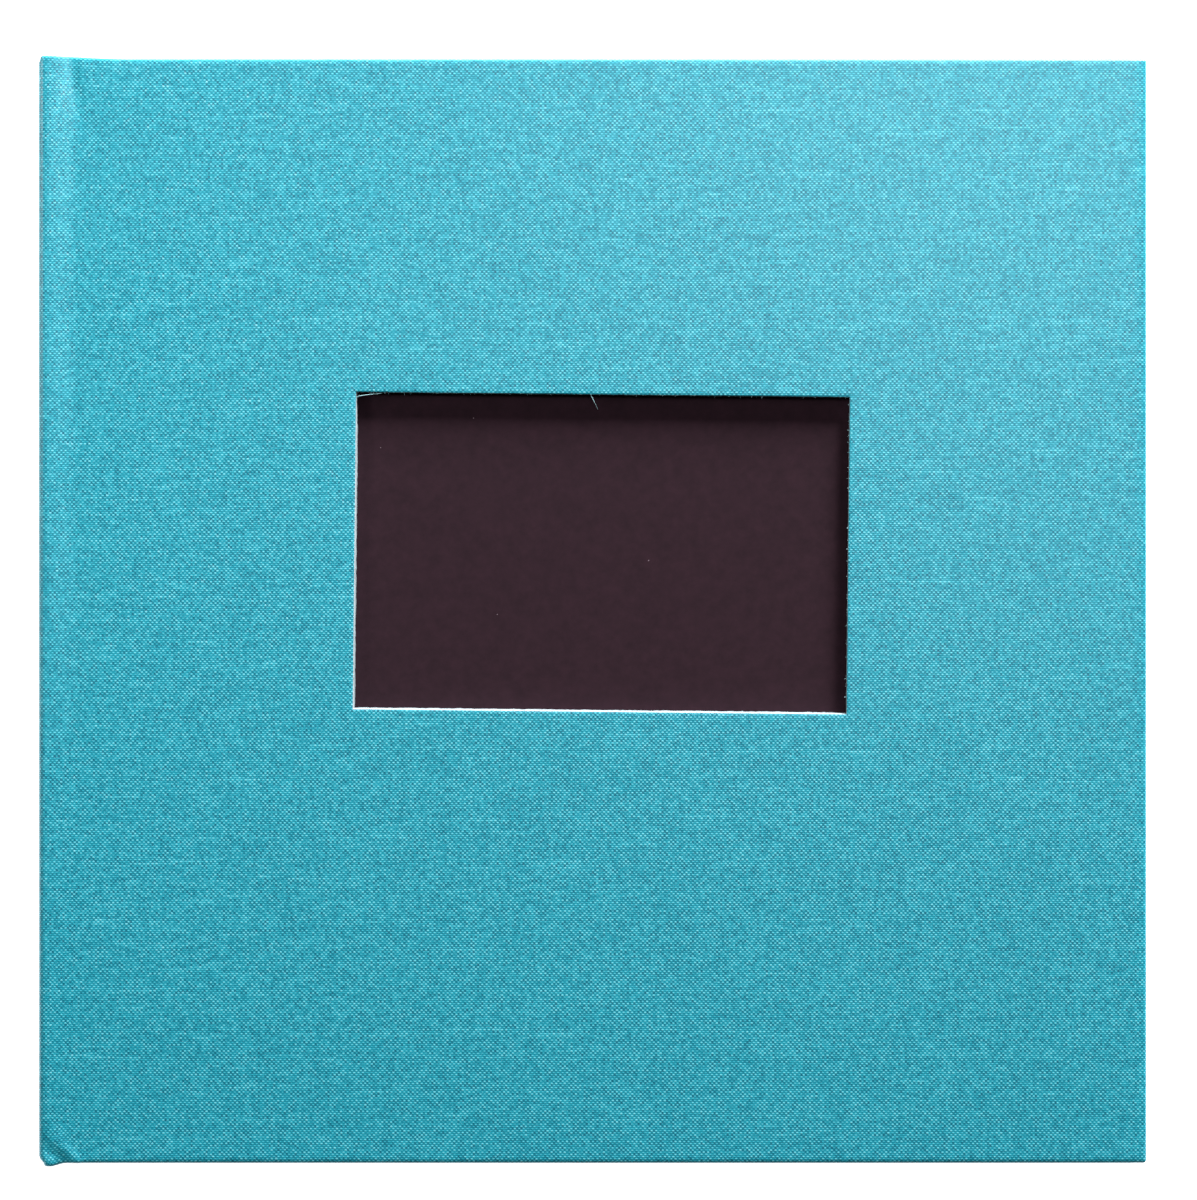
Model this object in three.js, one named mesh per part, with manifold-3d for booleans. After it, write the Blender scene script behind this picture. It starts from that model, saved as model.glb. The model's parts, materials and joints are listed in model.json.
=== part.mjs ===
// A twelve-inch scrapbook album: a cloth-covered case with a die-cut window in its front cover,
// around a block of card leaves that three screw posts hold on the back cover.
//
// Millimetres. The album lies closed on its back cover. +X runs from the spine to the fore-edge,
// +Y from the tail to the head, and +Z from the back cover up to the front cover.

import * as THREE from 'three';
import { mergeVertices } from 'three/addons/utils/BufferGeometryUtils.js';
import Module from 'manifold-3d';

// ---- Driving dimensions ----

// Leaves
const pageWidth = 305;
const pageHeight = 305;
const leafThickness = 0.6;
const leafCount = 10;

// How far the covers stand out past the leaves
const foreEdgeSquare = 4.5;
const headSquare = 4;

// The layers of each cover panel, from the outside in
const clothThickness = 0.4;
const boardThickness = 2.5;
const liningThickness = 0.3;
const glueGap = 0.05; // left between any two pieces that lie on each other
const turnIn = 15; // how far the cloth is folded over onto a board's inner face
const liningMargin = 4; // the lining stops this far inside a cover's edge
const cornerRadius = 1.2; // of a cover's corners at the fore-edge
const sideGap = 0.3; // left between two pieces that meet edge to edge

// Joints between the spine and the covers
const spineInset = 3.5; // the stiff spine stops this far from either cover's outer face
const boardInset = 13; // the cover boards start this far from the spine's outer face
const grooveDepth = 1.2; // of the groove pressed into the cloth along each joint
const blockClearance = 0.75; // between the spine's lining and the leaves

// Window in the front cover
const windowWidth = 140;
const windowHeight = 90;
const windowRight = 2.5; // its centre, from the centre of the cover
const windowUp = 16.4;
const windowTilt = THREE.MathUtils.degToRad(-0.6);
const backingBorder = 15; // how far the card behind the window reaches past it on each side

// Binding
const stripWidth = 25;
const stripThickness = 1.5;
const stripHeight = 298;
const spacerThickness = 0.8;
const scoreInset = 1.5; // from the strips' edge to the line that the leaves turn on
const stubReach = 3.2; // from that line to where a leaf is stiff again
const coverClearance = 0.5; // between the screw heads and the front cover

// Screw posts
const postSpacing = 108;
const postInset = 10; // from the leaves' bound edge
const postRadius = 2.5;
const boreRadius = 1.7;
const boreDepth = 9;
const shankRadius = 1.5;
const shankLength = 7;
const headRadius = 5;
const headThickness = 0.8;
const slotWidth = 1.2;
const slotDepth = 0.4;
const holeClearance = 0.3;

// ---- Sizes that follow ----

// Levels in a panel's thickness, measured from its outer face
const boardLevel = clothThickness + glueGap;
const turnInLevel = boardLevel + boardThickness + glueGap;
const liningLevel = turnInLevel + clothThickness + glueGap;
const panelThickness = liningLevel + liningThickness;

// Plan of the album, measured from the spine's outer face
const blockInset = panelThickness + blockClearance;
const coverWidth = blockInset + pageWidth + foreEdgeSquare;
const coverHeight = pageHeight + 2 * headSquare;
const panelWidth = coverWidth - boardInset;
const scoreLine = blockInset + stripWidth + scoreInset;
const postLine = blockInset + postInset;
const postPlaces = [-postSpacing, 0, postSpacing];

// Levels in the block
const stripLevel = panelThickness + glueGap;
const firstLeafLevel = stripLevel + stripThickness + glueGap;
const leafPitch = leafThickness + spacerThickness + 2 * glueGap;
const topLeafLevel = firstLeafLevel + (leafCount - 1) * leafPitch;
const clampLevel = topLeafLevel + leafThickness + glueGap;
const clampTop = clampLevel + stripThickness;
const headLevel = clampTop + glueGap;
const albumThickness = headLevel + headThickness + coverClearance + panelThickness;

// ---- Materials ----

function material(color, roughness, metalness = 0) {
  return new THREE.MeshStandardMaterial({ color, roughness, metalness });
}

const turquoiseCloth = material(0x42adc1, 0.8);
const greyBoard = material(0x9a9187, 0.9);
const plumPaper = material(0x38252f, 0.85);
const whiteCard = material(0xf1ece0, 0.85);
const nickel = material(0xc9c9c6, 0.3, 1);

// ---- Solids ----

const wasm = await Module();
wasm.setup();

function solidOf(geometry) {
  const bare = geometry.clone();
  bare.deleteAttribute('normal');
  bare.deleteAttribute('uv');
  const merged = mergeVertices(bare);
  return new wasm.Manifold(new wasm.Mesh({
    numProp: 3,
    vertProperties: Float32Array.from(merged.attributes.position.array),
    triVerts: Uint32Array.from(merged.index.array),
  }));
}

function carve(geometry, tools) {
  let solid = solidOf(geometry);
  for (const tool of tools) {
    solid = solid.subtract(solidOf(tool));
  }
  const { vertProperties, triVerts } = solid.getMesh();
  const carved = new THREE.BufferGeometry();
  carved.setAttribute('position', new THREE.BufferAttribute(vertProperties, 3));
  carved.setIndex(new THREE.BufferAttribute(triVerts, 1));
  carved.computeVertexNormals();
  return carved;
}

// A box between two corners
function block(low, high) {
  const box = new THREE.Box3(new THREE.Vector3(...low), new THREE.Vector3(...high));
  const size = box.getSize(new THREE.Vector3());
  const middle = box.getCenter(new THREE.Vector3());
  return new THREE.BoxGeometry(size.x, size.y, size.z).translate(middle.x, middle.y, middle.z);
}

// A plate from x = 0 to width, as high on either side of y = 0, with its two far corners rounded
function plate(width, height, thickness, radius = 0) {
  const half = height / 2;
  const outline = new THREE.Shape();
  outline.moveTo(0, -half);
  if (radius > 0) {
    outline.absarc(width - radius, radius - half, radius, -Math.PI / 2, 0);
    outline.absarc(width - radius, half - radius, radius, 0, Math.PI / 2);
  } else {
    outline.lineTo(width, -half);
    outline.lineTo(width, half);
  }
  outline.lineTo(0, half);
  return new THREE.ExtrudeGeometry(outline, {
    depth: thickness,
    bevelEnabled: false,
    curveSegments: 4,
  });
}

function disc(radius, thickness) {
  return new THREE.CylinderGeometry(radius, radius, thickness, 20)
    .rotateX(Math.PI / 2)
    .translate(0, 0, thickness / 2);
}

// A strip of even thickness under a curve, run along the album's height
function curvedStrip(points, thickness, height) {
  const inner = points.map((point, i) => {
    const before = points[Math.max(i - 1, 0)];
    const after = points[Math.min(i + 1, points.length - 1)];
    const along = after.clone().sub(before).normalize();
    return new THREE.Vector2(point.x - along.y * thickness, point.y + along.x * thickness);
  });
  const section = new THREE.Shape([...points, ...inner.reverse()]);
  return new THREE.ExtrudeGeometry(section, { depth: height, bevelEnabled: false });
}

function piece(name, geometry, look, x = 0, y = 0, z = 0) {
  const mesh = new THREE.Mesh(geometry, look);
  mesh.name = name;
  mesh.position.set(x, y, z);
  return mesh;
}

// ---- Case ----

// The cloth on one panel: a skin on its outer face that wraps its head, its tail and, on a cover,
// its fore-edge, and is folded over onto the inner face. It lies outer face down.
function panelCloth(width, isCover, cuts) {
  const past = 1; // how far a cutting block reaches past a face that it leaves open
  const boardEnd = isCover ? width - clothThickness : width + past;
  const mouthEnd = isCover ? width - turnIn : width + past;
  const boardSide = coverHeight / 2 - clothThickness;
  const mouthSide = coverHeight / 2 - turnIn;
  const turnInTop = turnInLevel + clothThickness;
  const skin = plate(width, coverHeight, turnInTop, isCover ? cornerRadius : 0);
  const boardRoom = block(
    [-past, -boardSide, clothThickness],
    [boardEnd, boardSide, turnInLevel],
  );
  const mouth = block(
    [-past, -mouthSide, clothThickness],
    [mouthEnd, mouthSide, turnInTop + past],
  );
  return carve(skin, [boardRoom, mouth, ...cuts]);
}

// One panel of the case, lying on its outer face from x = 0: cloth, board, the infill that brings
// the board up to the level of the turn-ins, and the lining over both.
function panel(name, width, isCover, cuts = [], recess = null) {
  const edge = isCover ? boardLevel : 0;
  const boardHeight = coverHeight - 2 * boardLevel;
  const infillEnd = isCover ? turnIn + sideGap : 0;
  const infillHeight = coverHeight - 2 * (turnIn + sideGap);
  const liningEnd = isCover ? liningMargin : 0;
  const liningHeight = coverHeight - 2 * liningMargin;

  const cloth = panelCloth(width, isCover, cuts);
  const board = plate(width - edge, boardHeight, boardThickness);
  const infill = plate(width - infillEnd, infillHeight, clothThickness);
  const lining = plate(width - liningEnd, liningHeight, liningThickness);

  const group = new THREE.Group();
  group.add(
    piece(`${name}_cloth`, cloth, turquoiseCloth),
    piece(`${name}_board`, carve(board, cuts), greyBoard, 0, 0, boardLevel),
    piece(`${name}_infill`, carve(infill, recess ? [recess] : []), whiteCard, 0, 0, turnInLevel),
    piece(`${name}_lining`, lining, plumPaper, 0, 0, liningLevel),
  );
  return group;
}

function backCover() {
  const cover = panel('back', panelWidth, true);
  cover.position.x = boardInset;
  return cover;
}

function spine() {
  const upright = panel('spine', albumThickness - 2 * spineInset, false);
  upright.rotation.y = Math.PI / 2;
  upright.position.z = albumThickness - spineInset;
  return upright;
}

// The front cover is the back cover turned over about X, so that up on the finished album is down
// while the panel lies on its outer face. The window goes through its cloth and its board, and
// the card behind the window sits in a recess of the infill.
function frontCover() {
  const windowX = coverWidth / 2 + windowRight - boardInset;
  const depth = 4 * panelThickness;
  const place = (geometry) => geometry.rotateZ(-windowTilt).translate(windowX, -windowUp, 0);
  const window = place(new THREE.BoxGeometry(windowWidth, windowHeight, depth));

  const backingWidth = windowWidth + 2 * backingBorder;
  const backingHeight = windowHeight + 2 * backingBorder;
  const backing = place(new THREE.BoxGeometry(backingWidth, backingHeight, clothThickness));
  const recess = place(
    new THREE.BoxGeometry(backingWidth + 2 * sideGap, backingHeight + 2 * sideGap, depth),
  );

  const cover = panel('front', panelWidth, true, [window], recess);
  const backingMiddle = turnInLevel + clothThickness / 2;
  cover.add(piece('window_backing', backing, plumPaper, 0, 0, backingMiddle));
  cover.rotation.x = Math.PI;
  cover.position.set(boardInset, 0, albumThickness);
  return cover;
}

// The cloth between the spine and the back cover: round the spine's edge, then down into the
// groove and out of it at the board
function jointCloth() {
  const start = spineInset - sideGap;
  const end = boardInset - sideGap;
  const points = [];
  const arcSteps = 6;
  for (let i = 0; i <= arcSteps; i++) {
    const angle = Math.PI + (i / arcSteps) * (Math.PI / 2);
    points.push(new THREE.Vector2(start + start * Math.cos(angle), start + start * Math.sin(angle)));
  }
  const grooveSteps = 12;
  for (let i = 1; i <= grooveSteps; i++) {
    const along = i / grooveSteps;
    const dip = grooveDepth * Math.sin(Math.PI * along ** 1.5) ** 2;
    points.push(new THREE.Vector2(start + along * (end - start), dip));
  }
  return curvedStrip(points, clothThickness, coverHeight);
}

function joints() {
  const group = new THREE.Group();
  const back = piece('back_joint_cloth', jointCloth(), turquoiseCloth, 0, coverHeight / 2, 0);
  back.rotation.x = Math.PI / 2;
  const front = piece(
    'front_joint_cloth', jointCloth(), turquoiseCloth, 0, -coverHeight / 2, albumThickness);
  front.rotation.x = -Math.PI / 2;
  group.add(back, front);
  return group;
}

// ---- Block ----

// A plate of the block, punched for the posts
function punched(width, height, thickness) {
  const holes = postPlaces.map((y) => disc(postRadius + holeClearance, 3 * thickness)
    .translate(postInset, y, -thickness));
  return carve(plate(width, height, thickness), holes);
}

// The strip on the back cover has a round recess under each hole for the post's flange
function backStrip() {
  const recesses = postPlaces.map((y) => disc(headRadius + holeClearance, 2 * headThickness)
    .translate(postInset, y, glueGap - headThickness));
  return carve(punched(stripWidth, stripHeight, stripThickness), recesses);
}

function post() {
  const top = clampTop - glueGap - stripLevel;
  const profile = [
    [0, 0],
    [headRadius, 0],
    [headRadius, headThickness],
    [postRadius, headThickness],
    [postRadius, top],
    [boreRadius, top],
    [boreRadius, top - boreDepth],
    [0, top - boreDepth],
  ];
  return new THREE.LatheGeometry(profile.map((p) => new THREE.Vector2(...p)), 20)
    .rotateX(Math.PI / 2);
}

// The screw's head lies on the clamp strip, its shank hangs in the post's bore, and a slot
// crosses the head
function postScrew() {
  const profile = [
    [0, -shankLength],
    [shankRadius, -shankLength],
    [shankRadius, 0],
    [headRadius, 0],
    [headRadius, headThickness],
    [0, headThickness],
  ];
  const turned = new THREE.LatheGeometry(profile.map((p) => new THREE.Vector2(...p)), 20)
    .rotateX(Math.PI / 2);
  const slot = new THREE.BoxGeometry(3 * headRadius, slotWidth, 2 * slotDepth)
    .translate(0, 0, headThickness);
  return carve(turned, [slot]);
}

function binding() {
  const group = new THREE.Group();
  const clamp = punched(stripWidth, stripHeight, stripThickness);
  group.add(
    piece('back_strip', backStrip(), plumPaper, blockInset, 0, stripLevel),
    piece('clamp_strip', clamp, plumPaper, blockInset, 0, clampLevel),
  );
  postPlaces.forEach((y, i) => {
    group.add(
      piece(`post_${i + 1}`, post(), nickel, postLine, y, stripLevel),
      piece(`post_screw_${i + 1}`, postScrew(), nickel, postLine, y, headLevel),
    );
  });
  return group;
}

// Leaf 1 is on top. Each leaf is a punched stub between the spacers and, past the scored line
// that it turns on, the page itself.
function leaves() {
  const group = new THREE.Group();
  const leafStart = scoreLine + stubReach;
  const stubWidth = leafStart - sideGap - blockInset;
  const leafWidth = blockInset + pageWidth - leafStart;
  for (let number = 1; number <= leafCount; number++) {
    const level = topLeafLevel - (number - 1) * leafPitch;
    const stub = punched(stubWidth, pageHeight, leafThickness);
    const leaf = plate(leafWidth, pageHeight, leafThickness);
    group.add(
      piece(`stub_${number}`, stub, whiteCard, blockInset, 0, level),
      piece(`leaf_${number}`, leaf, whiteCard, leafStart, 0, level),
    );
  }
  return group;
}

// Spacer 1 lies under leaf 1
function spacers() {
  const group = new THREE.Group();
  for (let number = 1; number < leafCount; number++) {
    const level = topLeafLevel - number * leafPitch + leafThickness + glueGap;
    const spacer = punched(stripWidth, stripHeight, spacerThickness);
    group.add(piece(`spacer_${number}`, spacer, whiteCard, blockInset, 0, level));
  }
  return group;
}

// ---- Album ----

const album = new THREE.Group();
album.add(backCover(), spine(), frontCover(), joints(), binding(), leaves(), spacers());
album.position.x = -coverWidth / 2;

export default album;
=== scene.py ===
import json
import math

import bmesh
import bpy
import numpy as np
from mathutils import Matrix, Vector, noise

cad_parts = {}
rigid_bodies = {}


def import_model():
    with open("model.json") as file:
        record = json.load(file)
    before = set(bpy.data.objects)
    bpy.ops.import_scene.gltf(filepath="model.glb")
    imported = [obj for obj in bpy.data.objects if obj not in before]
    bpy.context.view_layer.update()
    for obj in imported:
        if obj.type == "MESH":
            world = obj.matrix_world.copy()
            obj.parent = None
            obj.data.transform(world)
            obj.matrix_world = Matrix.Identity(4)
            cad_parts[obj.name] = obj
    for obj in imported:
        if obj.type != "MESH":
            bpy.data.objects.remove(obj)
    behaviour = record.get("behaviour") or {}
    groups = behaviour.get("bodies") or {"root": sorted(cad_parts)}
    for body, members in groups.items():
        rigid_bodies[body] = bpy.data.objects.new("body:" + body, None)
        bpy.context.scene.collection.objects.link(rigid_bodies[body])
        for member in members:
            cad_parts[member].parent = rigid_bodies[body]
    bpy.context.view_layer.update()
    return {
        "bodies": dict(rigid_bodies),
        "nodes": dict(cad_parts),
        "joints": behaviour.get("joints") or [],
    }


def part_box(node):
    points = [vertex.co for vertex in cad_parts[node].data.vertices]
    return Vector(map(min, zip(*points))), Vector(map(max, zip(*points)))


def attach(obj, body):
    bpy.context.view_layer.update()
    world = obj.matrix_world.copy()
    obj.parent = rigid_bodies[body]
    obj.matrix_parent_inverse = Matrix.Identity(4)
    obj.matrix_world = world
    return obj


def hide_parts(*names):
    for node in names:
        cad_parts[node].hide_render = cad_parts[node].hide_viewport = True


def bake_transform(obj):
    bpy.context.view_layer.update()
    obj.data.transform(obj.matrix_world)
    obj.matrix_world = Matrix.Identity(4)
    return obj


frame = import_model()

MM = 0.001

# ---- Boards ----
# Three panels of solid greyboard stiffen the case: back cover, spine and front cover. The board is
# pressed from recycled fibre and guillotined, and the window is die-cut through the front one.


def linear(hex_colour):
    """An sRGB hex colour as linear red, green, blue and alpha."""
    channels = [int(hex_colour[i : i + 2], 16) / 255 for i in (1, 3, 5)]
    return (*(c / 12.92 if c <= 0.04045 else ((c + 0.055) / 1.055) ** 2.4 for c in channels), 1)


def add(tree, kind, inputs=(), **settings):
    """Adds a node to a tree, with its settings, and with its inputs set or linked."""
    node = tree.nodes.new(kind)
    for key, value in settings.items():
        setattr(node, key, value)
    for key, value in dict(inputs).items():
        if isinstance(value, bpy.types.Node):
            value = value.outputs[0]
        if isinstance(value, bpy.types.NodeSocket):
            tree.links.new(value, node.inputs[key])
        else:
            node.inputs[key].default_value = value
    return node


def new_material(name, roughness):
    material = bpy.data.materials.new(name)
    material.use_nodes = True
    shader = material.node_tree.nodes["Principled BSDF"]
    shader.inputs["Roughness"].default_value = roughness
    return material, material.node_tree, shader


def dress(material, *names):
    """Gives CAD nodes their material."""
    for name in names:
        for place in frame["nodes"][name].material_slots:
            place.material = material


def pressed_greyboard():
    """Pressed recycled pulp: warm grey, clouded, with darker and paler flecks of fibre."""
    material, tree, shader = new_material("pressed_greyboard", 0.92)
    place = add(tree, "ShaderNodeTexCoord").outputs["Object"]
    clouds = add(tree, "ShaderNodeTexNoise", {"Vector": place, "Scale": 1 / (6 * MM), "Detail": 3.0})
    flecks = add(tree, "ShaderNodeTexNoise", {"Vector": place, "Scale": 1 / (0.7 * MM), "Detail": 2.0})
    fibre = add(tree, "ShaderNodeMath", {0: clouds, 1: flecks}, operation="ADD")
    share = add(tree, "ShaderNodeMapRange", {"Value": fibre, "From Min": 0.7, "From Max": 1.3})
    tint = add(tree, "ShaderNodeMix", {0: share, 6: linear("#7e766d"), 7: linear("#b9b1a6")},
               data_type="RGBA")
    tree.links.new(tint.outputs[2], shader.inputs["Base Color"])
    bump = add(tree, "ShaderNodeBump", {"Height": flecks, "Strength": 0.5, "Distance": 0.05 * MM})
    tree.links.new(bump.outputs[0], shader.inputs["Normal"])
    return material


dress(pressed_greyboard(), "back_board", "spine_board", "front_board")

# ---- Case cloth ----
# The case is covered in turquoise book cloth: plain-woven rayon on a paper backing, glued round
# the boards and folded over onto their inner faces. It bends at both joints, so it is made in two
# halves that meet along the middle of the spine.

cloth_low, cloth_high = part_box("front_cloth")
SPINE_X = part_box("spine_cloth")[0].x
BOARD_X = cloth_low.x
FORE_X = cloth_high.x
HALF_HEIGHT = cloth_high.y
ALBUM_TOP = cloth_high.z
WRAP_DEPTH = cloth_high.z - cloth_low.z
CLOTH_THICKNESS = 0.4 * MM
TURN_IN = 15 * MM
EDGE_RADIUS = 0.9 * MM
SPINE_RADIUS = 1.8 * MM
JOINT_DEPTH = 1.3 * MM  # of the doubled cloth at a joint's ends, where there is no board
HEAD_CORNER_RADIUS = 0.6 * MM
TAIL_CORNER_RADIUS = 2.3 * MM
WARP_PITCH = 0.615 * MM
WEFT_PITCH = 0.61 * MM
RIDGE_END_X = SPINE_X + 11.5 * MM


def smooth(low, high, value):
    t = min(max((value - low) / (high - low), 0), 1)
    return t * t * (3 - 2 * t)


def window_of_board():
    """Centre, half width, half height and turn of the opening cut through the front board."""
    points = {(round(v.co.x, 6), round(v.co.y, 6)) for v in frame["nodes"]["front_board"].data.vertices}
    low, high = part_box("front_board")
    inside = [p for p in points if low.x + 0.02 < p[0] < high.x - 0.02 and abs(p[1]) < high.y - 0.02]
    middle = np.mean(inside, axis=0)
    corners = sorted(inside, key=lambda p: math.atan2(p[1] - middle[1], p[0] - middle[0]))
    lower_left, lower_right, upper_right = (Vector(c) for c in corners[:3])
    across, up = lower_right - lower_left, upper_right - lower_right
    return Vector(middle), across.length / 2, up.length / 2, math.atan2(across.y, across.x)


window_middle, window_half_width, window_half_height, window_turn = window_of_board()


def joint_level(x, y, is_front):
    """Height of the cloth over the cover's face between the spine's edge and the board. On the
    front the spine's edge stands a little proud, most of all at the head, and slopes down to the
    board. A shallow groove is pressed at the head, and slants away from the spine as it fades."""
    from_spine, from_head, from_tail = x - SPINE_X, HALF_HEIGHT - y, HALF_HEIGHT + y
    up = from_tail / (2 * HALF_HEIGHT)
    ridge = (0.10 + 0.45 * smooth(0.1, 0.75, up) + 0.20 * smooth(0.8, 1, up)) * MM if is_front else 0
    level = ridge * (1 - smooth(SPINE_X + 1.5 * MM, RIDGE_END_X, x))
    floor_at = (9.2 + 3.4 * smooth(3 * MM, 20 * MM, from_head)) * MM
    groove = math.exp(-(((from_spine - floor_at) / (2.2 * MM)) ** 2))
    level -= 0.28 * MM * groove * (1 - smooth(8 * MM, 24 * MM, from_head))

    # At the tail the cloth's fold under the joint shows as a diagonal ridge with a dip beside it
    off_fold = (from_spine + from_tail - 11.6 * MM) / math.sqrt(2)
    fold = math.exp(-((off_fold / (1.3 * MM)) ** 2)) * (1 - smooth(6 * MM, 10 * MM, from_tail))
    dip = math.exp(-(((off_fold + 3 * MM) / (1.6 * MM)) ** 2)) * (1 - smooth(4 * MM, 9 * MM, from_tail))
    return level + 0.22 * MM * (fold if is_front else 0) - 0.25 * MM * dip


def cap_bulge(x, y):
    """How far the cloth stands out past the boards' ends, where it is folded over at the spine."""
    if y > 0:
        return 0.85 * MM * (1 - smooth(SPINE_X, SPINE_X + 26 * MM, x))
    return 0.95 * MM * (1 - smooth(SPINE_X + 3 * MM, SPINE_X + 8 * MM, x))


def corner_rounding(y):
    """How far the spine's edge draws in where it turns the corner, which is rounder at the tail.
    The cloth turned in behind it draws in as far."""
    radius = HEAD_CORNER_RADIUS if y > 0 else TAIL_CORNER_RADIUS
    past = max(radius - (HALF_HEIGHT - EDGE_RADIUS - abs(y)), 0)
    return radius - math.sqrt(radius**2 - min(past, 0.9 * radius) ** 2)


def spine_to_board():
    """The line of the cloth across spine and joint, as (x, depth under the cover's face)."""
    line = [(SPINE_X, depth) for depth in np.linspace(ALBUM_TOP / 2, SPINE_RADIUS, 9)]
    for angle in np.linspace(0, math.pi / 2, 9)[1:]:
        bend = SPINE_RADIUS * (1 - math.cos(angle)), SPINE_RADIUS * (1 - math.sin(angle))
        line.append((SPINE_X + bend[0], bend[1]))
    line += [(x, 0) for x in np.linspace(SPINE_X + SPINE_RADIUS, BOARD_X + 2 * MM, 30)[1:]]
    return line


def spread_lines(low, high, marks, step):
    """Grid lines from low to high, about a step apart, with more of them beside each mark."""
    near = [0.15 * MM, 0.35 * MM, 0.8 * MM, 1.6 * MM, 3 * MM]
    fixed = sorted({low, high, *marks, *(m + side * d for m in marks for d in near for side in (-1, 1))})
    lines = []
    for a, b in zip(fixed, fixed[1:]):
        lines += list(np.linspace(a, b, max(1, round((b - a) / step)) + 1)[:-1])
    return np.array(lines + [high])


def turned_with_window(x, y):
    """Turns the grid round the window's middle, less and less towards the cover's edges."""
    dx, dy = x - window_middle.x, y - window_middle.y
    past = max(abs(dx) - window_half_width, abs(dy) - window_half_height, 0)
    turn = window_turn * (1 - smooth(5 * MM, 30 * MM, past))
    return window_middle.x + dx - dy * turn, window_middle.y + dy + dx * turn, past


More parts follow.
